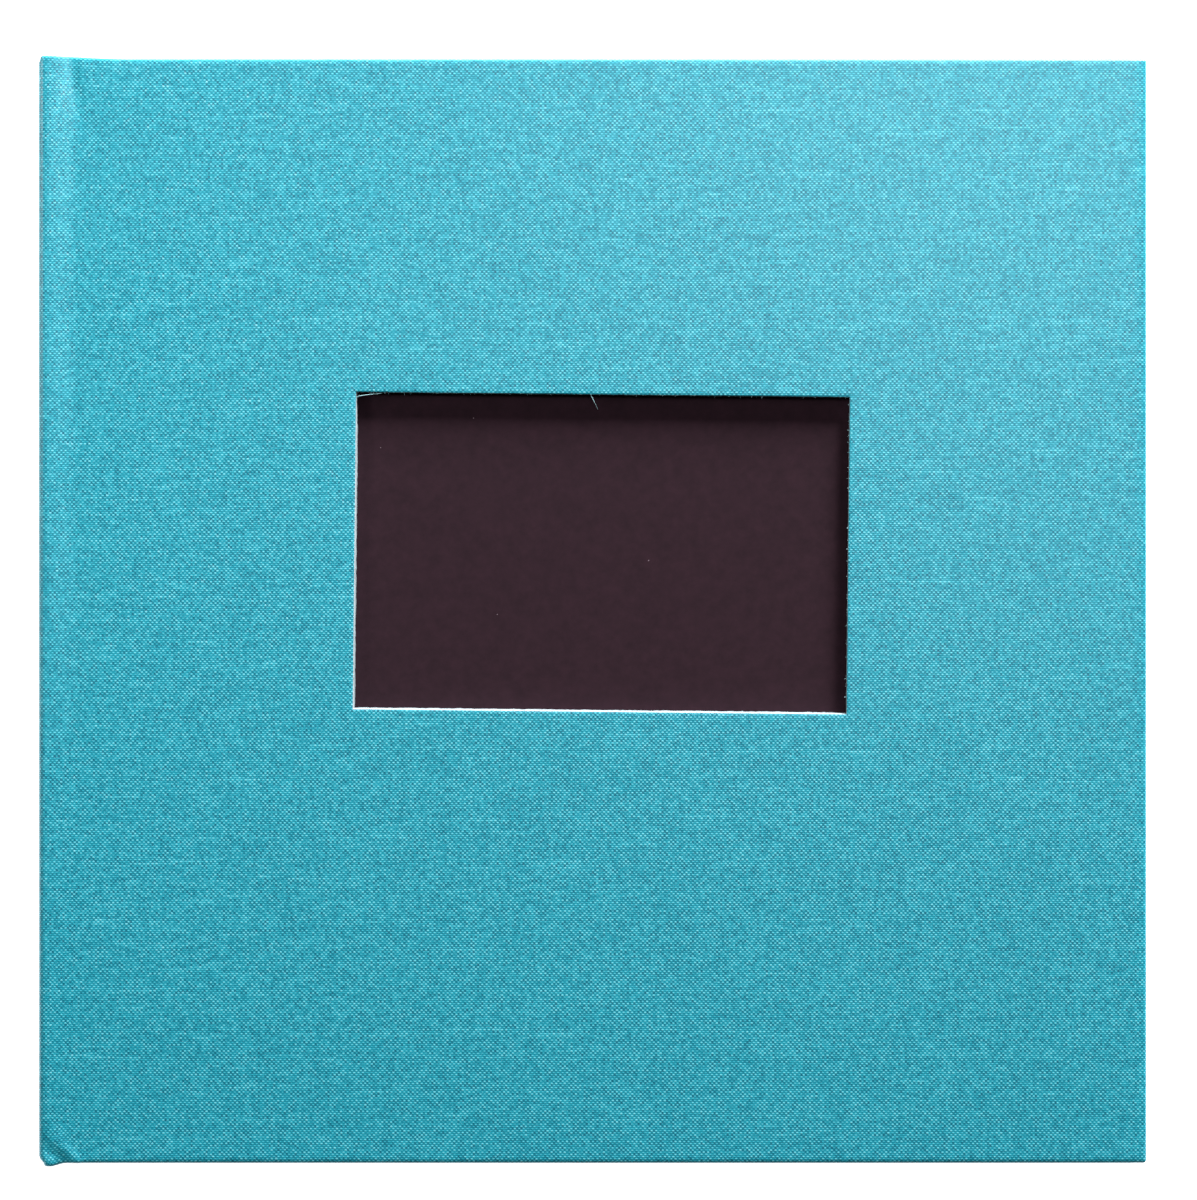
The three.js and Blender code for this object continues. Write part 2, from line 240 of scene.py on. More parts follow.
def case_half(name, is_front):
    """One half of the case cloth, as an outer surface that is then given its thickness."""
    # Lines across the half: spine and joint first, then the cover
    across = spine_to_board()
    inner_x, inner_y = FORE_X - EDGE_RADIUS, HALF_HEIGHT - EDGE_RADIUS
    x_marks = [window_middle.x - window_half_width, window_middle.x + window_half_width]
    y_marks = [window_middle.y - window_half_height, window_middle.y + window_half_height]
    x_lines = spread_lines(across[-1][0], inner_x, x_marks if is_front else [], 3 * MM)
    across += [(x, 0) for x in x_lines[1:]]
    ends = [sign * (inner_y - step) for sign in (-1, 1) for step in (1 * MM, 2 * MM, 3.5 * MM, 5.5 * MM)]
    y_lines = spread_lines(-inner_y, inner_y, y_marks if is_front else [], 3 * MM)
    y_lines = np.array(sorted({*y_lines, *ends}))
    travel = np.concatenate([[0], np.cumsum(np.hypot(*np.diff(np.array(across), axis=0).T))])

    mesh = bmesh.new()
    flat = mesh.verts.layers.float_vector.new("cloth_flat")

    def put(x, y, depth, along, up):
        vert = mesh.verts.new((x, y, ALBUM_TOP - depth if is_front else depth))
        vert[flat] = (along, up, 0 if is_front else 1)
        return vert

    def surface(column, y):
        """Place, inward direction and flat place of the cloth's outer surface, before the wrap."""
        x, depth = across[column]
        along, up = travel[column], y
        bent_y = y + math.copysign(cap_bulge(x, y) * smooth(inner_y - 14 * MM, inner_y, abs(y)), y)
        drawn_in = corner_rounding(y) * (1 - smooth(SPINE_X, SPINE_X + 5 * MM, x))
        level = joint_level(max(x, SPINE_X + 1.5 * MM), y, is_front)
        if x <= SPINE_X + SPINE_RADIUS:
            before, after = across[max(column - 1, 0)], across[column + 1]
            direction = Vector((after[0] - before[0], after[1] - before[1])).normalized()
            depth -= level * (1 - smooth(SPINE_RADIUS, ALBUM_TOP / 2, depth))
            return x + drawn_in, bent_y, depth, (-direction.y, direction.x), along, up
        if is_front:
            turned_x, turned_y, past = turned_with_window(x, y)
            along, up = along + turned_x - x, turned_y
            x, bent_y = turned_x, bent_y + turned_y - y
            depth = 0.08 * MM * math.exp(-past / (0.2 * MM)) * (0 if past > 5 * MM else 1)
        swell = 0.06 * MM * noise.noise(Vector((x, y, 3 if is_front else 9)) / (45 * MM))
        return x + drawn_in, bent_y, depth - level + swell - 0.02 * MM, (0, 1), along, up

    grid = []
    for column in range(len(across)):
        row = []
        for y in y_lines:
            x, bent_y, depth, _, along, up = surface(column, y)
            row.append(put(x, bent_y, depth, along, up))
        grid.append(row)
    for i in range(len(across) - 1):
        for j in range(len(y_lines) - 1):
            middle_x = (across[i][0] + across[i + 1][0]) / 2
            middle_y = (y_lines[j] + y_lines[j + 1]) / 2
            in_window = (
                is_front
                and abs(middle_x - window_middle.x) < window_half_width
                and abs(middle_y - window_middle.y) < window_half_height
            )
            if not in_window:
                mesh.faces.new((grid[i][j], grid[i + 1][j], grid[i + 1][j + 1], grid[i][j + 1]))

    # The rim: every place along tail, fore-edge and head, with its outward direction
    last, top = len(across) - 1, len(y_lines) - 1
    corner_fan = [math.radians(a) for a in (-67.5, -45, -22.5)]
    rim = [(i, 0, (0, -1)) for i in range(last + 1)]
    rim += [(last, 0, (math.cos(a), math.sin(a))) for a in corner_fan]
    rim += [(last, j, (1, 0)) for j in range(top + 1)]
    rim += [(last, top, (math.cos(a), -math.sin(a))) for a in reversed(corner_fan)]
    rim += [(i, top, (0, 1)) for i in range(last, -1, -1)]

    def wrap_depth(column):
        """How thick the wrapped edge is: a board and its cloth, or at a joint the cloth alone."""
        x, depth = across[column]
        on_spine = smooth(SPINE_RADIUS + 1 * MM, SPINE_RADIUS + 2.2 * MM, depth)
        on_board = smooth(BOARD_X - 1.2 * MM, BOARD_X, x)
        return JOINT_DEPTH + (WRAP_DEPTH - JOINT_DEPTH) * max(on_spine, on_board)

    quarter = [math.radians(a) for a in (22.5, 45, 67.5, 90)]
    rings = [[grid[i][j] for i, j, _ in rim]]
    profile = [(math.sin(a), 1 - math.cos(a), 0) for a in quarter]
    profile += [(1, 1, share) for share in (0.25, 0.5, 0.75, 1)]
    profile += [(math.cos(a), 1 + math.sin(a), 1) for a in quarter]
    profile += [(-step, 2, 1) for step in (0.5, 2, 5, 9, 13, (TURN_IN / EDGE_RADIUS) - 1)]
    for out, turns, drop in profile:
        ring = []
        for column, line, (nx, ny) in rim:
            x, y, depth, inward, along, up = surface(column, y_lines[line])
            full = wrap_depth(column)
            radius = min(EDGE_RADIUS, full / 2)
            sink = turns * radius + drop * (full - 2 * radius)
            reach = out * EDGE_RADIUS
            wrapped = max(reach, 0) + sink
            if reach >= 0:
                x, y = x + nx * reach, y + ny * reach
            else:
                back, side = -reach, math.copysign(1, y)
                y = side * min(abs(y), inner_y + (abs(y) - inner_y) - back) if ny else y
                if nx or x > inner_x - back:
                    x = inner_x - back
                if nx:
                    y = max(min(y, inner_y - back), back - inner_y)
                wrapped += back
            if inward[0]:
                x += inward[0] * sink
                depth += inward[1] * sink
            else:
                depth += sink
            ring.append(put(x, y, depth, along + nx * wrapped, up + ny * wrapped))
        previous = rings[-1]
        for k in range(len(rim) - 1):
            corners = [previous[k], ring[k], ring[k + 1], previous[k + 1]]
            corners = list(dict.fromkeys(corners))
            if len(corners) > 2:
                mesh.faces.new(corners)
        rings.append(ring)

    bmesh.ops.remove_doubles(mesh, verts=mesh.verts, dist=0.5e-6)
    bmesh.ops.dissolve_degenerate(mesh, dist=1e-7, edges=mesh.edges)
    bmesh.ops.recalc_face_normals(mesh, faces=mesh.faces)
    mesh.faces.ensure_lookup_table()
    facing = (max if is_front else min)(mesh.faces, key=lambda f: f.calc_center_median().z)
    if (facing.normal.z > 0) != is_front:
        bmesh.ops.reverse_faces(mesh, faces=mesh.faces)
    return piece_of(name, mesh)


def piece_of(name, mesh):
    """Makes an object of a bmesh, at the origin."""
    data = bpy.data.meshes.new(name)
    mesh.to_mesh(data)
    mesh.free()
    piece = bpy.data.objects.new(name, data)
    bpy.context.scene.collection.objects.link(piece)
    return piece


def finished(piece, crease=35):
    """Turns the piece's modifiers into plain mesh, shaded smooth up to a crease angle."""
    bpy.context.view_layer.update()
    evaluated = piece.evaluated_get(bpy.context.evaluated_depsgraph_get())
    data = bpy.data.meshes.new_from_object(evaluated)
    piece.modifiers.clear()
    piece.data = data
    data.shade_smooth()
    data.set_sharp_from_angle(angle=math.radians(crease))
    return piece


def woven_rayon_cloth():
    """Plain-woven rayon book cloth. Each weft crossing shows as a pale dot and each warp crossing as a dark
    one, which is painted highlight on the threads' crowns and painted shade in the gaps between them, and
    the palest dots get a painted whitish glint. Uneven weft threads show as fine lines across the cover.
    Its threads are really about 0.4 mm apart, and are drawn half as far apart again so that they
    still show."""
    material, tree, shader = new_material("woven_rayon_cloth", 0.35)
    place = add(tree, "ShaderNodeAttribute", attribute_name="cloth_flat").outputs["Vector"]
    threads_per_metre = (1 / WARP_PITCH, 1 / WEFT_PITCH, 0)
    threads = add(tree, "ShaderNodeVectorMath", {0: place, 1: threads_per_metre}, operation="MULTIPLY")

    # The threads wander to either side as they run
    wander = add(tree, "ShaderNodeTexNoise",
                 {"Vector": threads, "Scale": 0.09, "Detail": 4.0, "Roughness": 0.62})
    shift = add(tree, "ShaderNodeVectorMath",
                {0: wander.outputs["Color"], 1: (0.5, 0.5, 0.5)}, operation="SUBTRACT")
    shifted = add(tree, "ShaderNodeVectorMath",
                  {0: shift, 1: (1.0, 0.6, 0), 2: threads}, operation="MULTIPLY_ADD")
    split = add(tree, "ShaderNodeSeparateXYZ", {0: shifted})
    across, up = split.outputs[0], split.outputs[1]
    warp, weft = (add(tree, "ShaderNodeMath", {0: way}, operation="FLOOR") for way in (across, up))

    # Waves along and across the threads multiply to a chequer of crossings, from -1 to 1
    waves = []
    for way in (across, up):
        turn = add(tree, "ShaderNodeMath", {0: way, 1: math.pi}, operation="MULTIPLY")
        waves.append(add(tree, "ShaderNodeMath", {0: turn}, operation="SINE"))
    crossings = add(tree, "ShaderNodeMath", dict(enumerate(waves)), operation="MULTIPLY")
    ribs = add(tree, "ShaderNodeMath", {0: waves[1], 1: waves[1]}, operation="MULTIPLY")
    crossing = add(tree, "ShaderNodeCombineXYZ", {0: warp, 1: weft})
    uneven = add(tree, "ShaderNodeTexWhiteNoise", {"Vector": crossing}, noise_dimensions="2D")

    def along_thread(long, thread, seed, reach):
        """A value that runs smoothly along one thread and changes from thread to thread."""
        run = add(tree, "ShaderNodeMath", {0: long, 1: reach}, operation="DIVIDE")
        row = add(tree, "ShaderNodeMath", {0: thread, 1: 73.1, 2: seed}, operation="MULTIPLY_ADD")
        spot = add(tree, "ShaderNodeCombineXYZ", {0: run, 1: row})
        return add(tree, "ShaderNodeTexNoise", {"Vector": spot, "Scale": 1.0, "Detail": 1.0})

    weft_tone = along_thread(across, weft, 11.3, 14.0)
    warp_tone = along_thread(up, warp, 47.9, 14.0)
    thick_weft = add(tree, "ShaderNodeMapRange",
                     {"Value": along_thread(across, weft, 83.1, 34.0), "From Min": 0.62, "From Max": 0.74})
    clouds = add(tree, "ShaderNodeTexNoise", {"Vector": place, "Scale": 1 / (28 * MM), "Detail": 3.0})

    # Share of the pale crossing colour: a half, moved by each of these by so much. The chequer of crossings
    # and the ribs are painted light: painted highlight on the threads' crowns and painted shade in the gaps
    # between them. The other parts are the cloth's own uneven tone.
    tone = 0.5
    parts = ((crossings, 0.33, 0), (ribs, 0.32, 0.5), (uneven, 0.38, 0.5), (weft_tone, 0.28, 0.5),
             (warp_tone, 0.18, 0.5), (thick_weft, 0.16, 0.1), (clouds, 0.03, 0.5))
    for part, weight, middle in parts:
        centred = add(tree, "ShaderNodeMath", {0: part, 1: middle}, operation="SUBTRACT")
        tone = add(tree, "ShaderNodeMath", {0: centred, 1: weight, 2: tone}, operation="MULTIPLY_ADD")
    # Dark and pale turquoise: the cloth's own colour range, which also carries the weave's painted shade
    # and painted highlight
    colour = add(tree, "ShaderNodeMix", {0: tone, 6: linear("#00627a"), 7: linear("#1cc8de")},
                 data_type="RGBA")

    # Painted glint: the palest crossings' turquoise gives way to a greyish, almost white blue, a highlight
    # painted into the colour
    painted_glint_share = add(tree, "ShaderNodeMapRange", {"Value": tone, "From Min": 0.6, "From Max": 1.1})
    colour_with_painted_glint = add(tree, "ShaderNodeMix", {0: painted_glint_share, 6: colour.outputs[2], 7: linear("#80dce8")},
                   data_type="RGBA")
    tree.links.new(colour_with_painted_glint.outputs[2], shader.inputs["Base Color"])
    bump = add(tree, "ShaderNodeBump", {"Height": tone, "Strength": 1.0, "Distance": 0.05 * MM})
    tree.links.new(bump.outputs[0], shader.inputs["Normal"])
    shader.inputs["Specular IOR Level"].default_value = 0.55
    shader.inputs["IOR"].default_value = 1.6
    return material


def raw_cloth_edge():
    """The cloth's cut edge: pale paper backing with broken turquoise thread ends in it."""
    material, tree, shader = new_material("raw_cloth_edge", 0.9)
    place = add(tree, "ShaderNodeTexCoord").outputs["Object"]
    ends = add(tree, "ShaderNodeTexNoise", {"Vector": place, "Scale": 1 / (0.9 * MM), "Detail": 3.0})
    mixed = add(tree, "ShaderNodeMix", {0: ends, 6: linear("#e9e7e0"), 7: linear("#8fc6cf")},
                data_type="RGBA")
    tree.links.new(mixed.outputs[2], shader.inputs["Base Color"])
    return material


book_cloth, cut_edge = woven_rayon_cloth(), raw_cloth_edge()
for cover, nodes in (
    ("front_cover", ("front_cloth", "front_joint_cloth", "spine_cloth")),
    ("back_cover", ("back_cloth", "back_joint_cloth")),
):
    is_front = cover == "front_cover"
    half = case_half("case_cloth_front" if is_front else "case_cloth_back", is_front)
    thickness = half.modifiers.new("thickness", "SOLIDIFY")
    thickness.thickness = CLOTH_THICKNESS
    thickness.offset = -1
    thickness.material_offset_rim = 1
    finished(half)
    half.data.materials.append(book_cloth)
    half.data.materials.append(cut_edge)
    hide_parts(*nodes)
    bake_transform(half)

# ---- Window's cut edge ----
# The die shears cloth, backing paper and board in one stroke. It leaves a raw edge that leans into
# the opening: torn white backing above, crushed board fibre below, with frayed threads along it.

CUT_LEAN = 0.5 * MM
CUT_STRAIGHT = 0.15  # the die leaned, so that its cut is nearly straight at the right and the head
CUT_DEPTH = 2.93 * MM  # the card behind the window starts just under it


def window_outline(step):
    """Places round the cut, anticlockwise, each with its direction into the opening."""
    corners = [Vector((x * window_half_width, y * window_half_height))
               for x, y in ((-1, -1), (1, -1), (1, 1), (-1, 1))]
    turned = []
    for start, end in zip(corners, corners[1:] + corners[:1]):
        along = (end - start).normalized()
        inward = Vector((-along.y, along.x))
        count = round((end - start).length / step)
        turned.append((start, inward + along))
        turned += [(start.lerp(end, k / count), inward) for k in range(1, count)]
    cos, sin = math.cos(window_turn), math.sin(window_turn)

    def spin(p):
        return Vector((p.x * cos - p.y * sin, p.x * sin + p.y * cos))

    return [(window_middle + spin(place), spin(inward)) for place, inward in turned]


def sheared_edge():
    mesh = bmesh.new()
    # The cut from the cloth down and back up behind: share of the lean, and depth in millimetres
    section = [(0.02, 0.22), (0.16, 0.26), (0.40, 0.75), (0.62, 1.7),
               (1.0, CUT_DEPTH / MM), (0.03, CUT_DEPTH / MM)]
    loops = []
    for place, inward in window_outline(0.8 * MM):
        loop = []
        for step, (lean, depth) in enumerate(section):
            rough = noise.noise(Vector((place.x, place.y, step * 2 * MM)) / (1.1 * MM))
            reach = lean * CUT_LEAN * (1 + 0.35 * rough * (0 < step < 5))
            out = place + Vector([way * reach * (1 if way > 0 else CUT_STRAIGHT) for way in inward])
            loop.append(mesh.verts.new((out.x, out.y, ALBUM_TOP - depth * MM)))
        loops.append(loop)
    for loop, after in zip(loops, loops[1:] + loops[:1]):
        for k in range(len(section)):
            following = (k + 1) % len(section)
            mesh.faces.new((loop[k], loop[following], after[following], after[k]))
    bmesh.ops.recalc_face_normals(mesh, faces=mesh.faces)
    return piece_of("window_cut_edge", mesh)


def sheared_paper_and_board():
    """Torn backing paper over crushed board: near white at the top, greyer and flecked below."""
    material, tree, shader = new_material("sheared_paper_and_board", 0.95)
    place = add(tree, "ShaderNodeTexCoord").outputs["Object"]
    tears = add(tree, "ShaderNodeTexNoise", {"Vector": place, "Scale": 1 / (0.8 * MM), "Detail": 3.0})
    level = add(tree, "ShaderNodeSeparateXYZ", {0: place}).outputs[2]
    depth = add(tree, "ShaderNodeMapRange",
                {"Value": level, "From Min": ALBUM_TOP - CUT_DEPTH, "From Max": ALBUM_TOP - 0.4 * MM})
    share = add(tree, "ShaderNodeMath", {0: tears, 1: 0.9, 2: depth}, operation="MULTIPLY_ADD")
    pale = add(tree, "ShaderNodeMapRange", {"Value": share, "From Min": 0.4, "From Max": 1.3})
    tint = add(tree, "ShaderNodeMix", {0: pale, 6: linear("#737b80"), 7: linear("#aab6bc")},
               data_type="RGBA")
    tree.links.new(tint.outputs[2], shader.inputs["Base Color"])
    bump = add(tree, "ShaderNodeBump", {"Height": tears, "Strength": 0.8, "Distance": 0.08 * MM})
    tree.links.new(bump.outputs[0], shader.inputs["Normal"])
    return material


def grown(name, tree, base, **inputs):
    """Runs a Geometry Nodes tree on a base mesh, with its named inputs set, and keeps plain mesh."""
    piece = bpy.data.objects.new(name, base)
    bpy.context.scene.collection.objects.link(piece)
    modifier = piece.modifiers.new("nodes", "NODES")
    modifier.node_group = tree
    sockets = {item.name: item.identifier for item in tree.interface.items_tree if item.in_out == "INPUT"}
    for key, value in inputs.items():
        modifier[sockets[key.replace("_", " ")]] = value
    return finished(piece)


def new_node_tree(name, **inputs):
    """A Geometry Nodes tree with a mesh input and further named inputs, and its two end nodes."""
    tree = bpy.data.node_groups.new(name, "GeometryNodeTree")
    tree.interface.new_socket("Geometry", in_out="INPUT", socket_type="NodeSocketGeometry")
    tree.interface.new_socket("Geometry", in_out="OUTPUT", socket_type="NodeSocketGeometry")
    for key, kind in inputs.items():
        tree.interface.new_socket(key.replace("_", " "), in_out="INPUT", socket_type=kind)
    return tree, add(tree, "NodeGroupInput").outputs, add(tree, "NodeGroupOutput")


def frayed_threads_tree():
    """Short bent fibres, set at random along a line, mostly lying flat."""
    tree, given, result = new_node_tree(
        "frayed_threads", spacing="NodeSocketFloat", reach="NodeSocketFloat",
        thickness="NodeSocketFloat", finish="NodeSocketMaterial")
    line = add(tree, "GeometryNodeMeshToCurve", {"Mesh": given["Geometry"]})
    spots = add(tree, "GeometryNodeCurveToPoints",
                {"Curve": line, "Length": given["spacing"]}, mode="LENGTH")
    tip = add(tree, "ShaderNodeCombineXYZ", {0: given["reach"]})
    sag = add(tree, "ShaderNodeVectorMath", {0: tip, 1: (0.5, 0.3, 0.2)}, operation="MULTIPLY")
    fibre = add(tree, "GeometryNodeCurveQuadraticBezier", {"Resolution": 3, "Start": (0, 0, 0), "End": tip})
    tree.links.new(sag.outputs[0], fibre.inputs["Middle"])
    ring = add(tree, "GeometryNodeCurvePrimitiveCircle", {"Resolution": 3, "Radius": given["thickness"]})
    hair = add(tree, "GeometryNodeCurveToMesh", {"Curve": fibre, "Profile Curve": ring, "Fill Caps": True})
    turn = add(tree, "FunctionNodeRandomValue",
               {0: (-0.5, -0.35, -math.pi), 1: (0.5, 0.35, math.pi), "Seed": 4}, data_type="FLOAT_VECTOR")
    grow = add(tree, "FunctionNodeRandomValue", {2: 0.3, 3: 1.3, "Seed": 9}, data_type="FLOAT")
    placed = add(tree, "GeometryNodeInstanceOnPoints",
                 {"Points": spots, "Instance": hair, "Rotation": turn.outputs[0], "Scale": grow.outputs[1]})
    solid = add(tree, "GeometryNodeRealizeInstances", {"Geometry": placed})
    dressed = add(tree, "GeometryNodeSetMaterial", {"Geometry": solid, "Material": given["finish"]})
    tree.links.new(dressed.outputs[0], result.inputs["Geometry"])
    return tree


def spun_rayon():
    """Loose rayon ends, pale where the dye is thin."""
    material, tree, shader = new_material("spun_rayon", 0.6)
    place = add(tree, "ShaderNodeTexCoord").outputs["Object"]
    dye = add(tree, "ShaderNodeTexNoise", {"Vector": place, "Scale": 1 / (2 * MM)})
    tint = add(tree, "ShaderNodeMix", {0: dye, 6: linear("#cfe9ee"), 7: linear("#7fc9d4")},
               data_type="RGBA")
    tree.links.new(tint.outputs[2], shader.inputs["Base Color"])
    return material


def cut_line():
    """The line round the window's cut, at the cloth's level, as edges for the fibres to grow on."""
    mesh = bmesh.new()
    verts = [mesh.verts.new((*(place + inward * 0.05 * MM), ALBUM_TOP - 0.25 * MM))
             for place, inward in window_outline(4 * MM)]
    for vert, after in zip(verts, verts[1:] + verts[:1]):
        mesh.edges.new((vert, after))
    data = bpy.data.meshes.new("cut_line")
    mesh.to_mesh(data)
    mesh.free()
    return data


def loose_end(name, points, radius):
    """A thread along a few points, thinning to its tip."""
    curve = bpy.data.curves.new(name, "CURVE")
    curve.dimensions = "3D"
    curve.bevel_depth = radius
    curve.bevel_resolution = 2
    curve.use_fill_caps = True
    strand = curve.splines.new("NURBS")
    strand.points.add(len(points) - 1)
    strand.use_endpoint_u = True
    for k, (spot, place) in enumerate(zip(strand.points, points)):
        spot.co = (*place, 1)
        spot.radius = 1 - 0.6 * k / (len(points) - 1)
    piece = bpy.data.objects.new(name, curve)
    bpy.context.scene.collection.objects.link(piece)
    bpy.context.view_layer.update()
    data = bpy.data.meshes.new_from_object(piece.evaluated_get(bpy.context.evaluated_depsgraph_get()))
    bpy.data.objects.remove(piece)
    thread = bpy.data.objects.new(name, data)
    bpy.context.scene.collection.objects.link(thread)
    data.shade_smooth()
    return thread


def in_window(x, y, depth):
    """A place given from the window's upper left corner, in millimetres right, down and deep."""
    cos, sin = math.cos(window_turn), math.sin(window_turn)
    dx, dy = x * MM - window_half_width, window_half_height - y * MM
    return (window_middle.x + dx * cos - dy * sin, window_middle.y + dx * sin + dy * cos,
            ALBUM_TOP - depth * MM)


rayon = spun_rayon()
cut = finished(sheared_edge())
cut.data.materials.append(sheared_paper_and_board())
frayed = grown("frayed_threads", frayed_threads_tree(), cut_line(),
               spacing=0.7 * MM, reach=0.55 * MM, thickness=0.035 * MM, finish=rayon)
hanging = loose_end("hanging_thread", [in_window(66.5, -0.1, 0.3), in_window(66.9, 1.2, 0.1),
                                       in_window(67.8, 2.4, 0.5), in_window(68.6, 4.3, 1.4)], 0.10 * MM)
sliver = loose_end("torn_sliver", [in_window(0.2, 1.5, 0.6), in_window(1.2, 1.0, 0.3),
                                   in_window(3.5, 0.8, 0.2), in_window(7.5, 0.35, 0.3)], 0.16 * MM)
for piece in (hanging, sliver):
    piece.data.materials.append(rayon)
for piece in (cut, frayed, hanging, sliver):
    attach(piece, "front_cover")

# ---- Infill card and lining paper ----
# Thin card brings the middle of each board up to the level of the turned-in cloth. Dark plum-brown
# paper is pasted over both, and the card behind the window and the back strip are covered in it.


def pulp_card(name, pale, shade):
    """Uncoated card: even and matt, with faint clouds of pulp and a fibre grain at its cut edges."""
    material, tree, shader = new_material(name, 0.85)
    place = add(tree, "ShaderNodeTexCoord").outputs["Object"]
    clouds = add(tree, "ShaderNodeTexNoise", {"Vector": place, "Scale": 1 / (9 * MM), "Detail": 4.0})
    grain = add(tree, "ShaderNodeTexNoise", {"Vector": place, "Scale": 1 / (0.5 * MM), "Detail": 2.0})
    share = add(tree, "ShaderNodeMath", {0: clouds, 1: grain}, operation="MULTIPLY")
    spread = add(tree, "ShaderNodeMapRange", {"Value": share, "From Min": 0.12, "From Max": 0.4})
    tint = add(tree, "ShaderNodeMix", {0: spread, 6: linear(shade), 7: linear(pale)},
               data_type="RGBA")
    tree.links.new(tint.outputs[2], shader.inputs["Base Color"])
    bump = add(tree, "ShaderNodeBump", {"Height": grain, "Strength": 0.3, "Distance": 0.03 * MM})
    tree.links.new(bump.outputs[0], shader.inputs["Normal"])
    return material


def plum_kraft_paper():
    """Uncoated kraft paper dyed plum-brown: matt, finely mottled by its fibre, with a few pale
    specks of lint that catch the light."""
    material, tree, shader = new_material("plum_kraft_paper", 0.88)
    place = add(tree, "ShaderNodeTexCoord").outputs["Object"]
    mottle = add(tree, "ShaderNodeTexNoise",
                 {"Vector": place, "Scale": 1 / (3.5 * MM), "Detail": 5.0, "Roughness": 0.65})
    spread = add(tree, "ShaderNodeMapRange", {"Value": mottle, "From Min": 0.3, "From Max": 0.7})
    tint = add(tree, "ShaderNodeMix", {0: spread, 6: linear("#28161f"), 7: linear("#311c26")},
               data_type="RGBA")
    lint = add(tree, "ShaderNodeTexVoronoi", {"Vector": place, "Scale": 1 / (7 * MM)})
    near = add(tree, "ShaderNodeMath", {0: lint.outputs["Distance"], 1: 0.022}, operation="LESS_THAN")
    pick = add(tree, "ShaderNodeSeparateXYZ", {0: lint.outputs["Color"]})
    chosen = add(tree, "ShaderNodeMath", {0: pick, 1: 0.45}, operation="LESS_THAN")
    speck = add(tree, "ShaderNodeMath", {0: near, 1: chosen}, operation="MULTIPLY")
    specked = add(tree, "ShaderNodeMix", {0: speck, 6: tint.outputs[2], 7: linear("#8b7a84")},
                  data_type="RGBA")
    tree.links.new(specked.outputs[2], shader.inputs["Base Color"])
    bump = add(tree, "ShaderNodeBump", {"Height": mottle, "Strength": 0.25, "Distance": 0.04 * MM})
    tree.links.new(bump.outputs[0], shader.inputs["Normal"])
    shader.inputs["Specular IOR Level"].default_value = 0.2
    return material


plum_paper = plum_kraft_paper()
dress(pulp_card("infill_card", "#e2dccd", "#cfc7b6"), "back_infill", "spine_infill", "front_infill")
dress(plum_paper, "back_lining", "spine_lining", "front_lining", "window_backing", "back_strip")

# ---- Screw posts ----
# Three flanged posts of nickel-plated steel stand up through the block from under the back strip.
# They are turned from rod and plated bright.


def bright_nickel():
    """Nickel plate over turned steel: a warm white metal with fine turning lines round its axis."""
    material, tree, shader = new_material("bright_nickel", 0.28)
    place = add(tree, "ShaderNodeTexCoord").outputs["Object"]
    post_low, post_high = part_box("post_2")
    middle = (post_low + post_high) / 2
    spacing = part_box("post_3")[0].y - post_low.y
    centred = add(tree, "ShaderNodeMapping", {"Vector": place, "Location": (-middle.x, spacing / 2, 0)})
    split = add(tree, "ShaderNodeSeparateXYZ", {0: centred})
    own_y = add(tree, "ShaderNodeMath", {0: split.outputs[1], 1: 0.0, 2: spacing}, operation="WRAP")
    offset = add(tree, "ShaderNodeMath", {0: own_y, 1: spacing / 2}, operation="SUBTRACT")
    across = add(tree, "ShaderNodeCombineXYZ", {0: split.outputs[0], 1: offset})
    radius = add(tree, "ShaderNodeVectorMath", {0: across}, operation="LENGTH").outputs["Value"]
    rings = add(tree, "ShaderNodeTexNoise", {"W": radius, "Scale": 1 / (0.12 * MM)}, noise_dimensions="1D")
    bump = add(tree, "ShaderNodeBump", {"Height": rings, "Strength": 0.25, "Distance": 0.01 * MM})
    tree.links.new(bump.outputs[0], shader.inputs["Normal"])
    tarnish = add(tree, "ShaderNodeTexNoise", {"Vector": place, "Scale": 1 / (4 * MM), "Detail": 3.0})
    tint = add(tree, "ShaderNodeMix", {0: tarnish, 6: linear("#bdb8ae"), 7: linear("#dcd9d2")},
               data_type="RGBA")
    tree.links.new(tint.outputs[2], shader.inputs["Base Color"])
    shader.inputs["Metallic"].default_value = 1.0
    return material


nickel = bright_nickel()
dress(nickel, "post_1", "post_2", "post_3")

# ---- Leaves and spacers ----
# Ten leaves of off-white card are stacked on the posts with a narrow spacer of card between each
# pair. A line scored beside the strips lets each leaf turn, so a leaf is one sheet from its punched
# stub to its fore-edge.

SCORE_DEPTH = 0.14 * MM
SCORE_HALF_WIDTH = 0.5 * MM
HOLE_RADIUS = 2.8 * MM
score_x = {joint["child"]: joint["pos_m"][0] for joint in frame["joints"]}


def punch():
    """The punch: three rods at the posts' places, which cut the holes in card and strips."""
    mesh = bmesh.new()
    for number in (1, 2, 3):
        low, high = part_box(f"post_{number}")
        made = bmesh.ops.create_cone(mesh, segments=32, radius1=HOLE_RADIUS, radius2=HOLE_RADIUS,
                                     depth=0.1, cap_ends=True)
        bmesh.ops.translate(mesh, vec=(low + high) / 2, verts=made["verts"])
    return piece_of("punch", mesh)


def punched(piece):
    holes = piece.modifiers.new("holes", "BOOLEAN")
    holes.object = holes_punch
    holes.solver = "EXACT"
    return piece


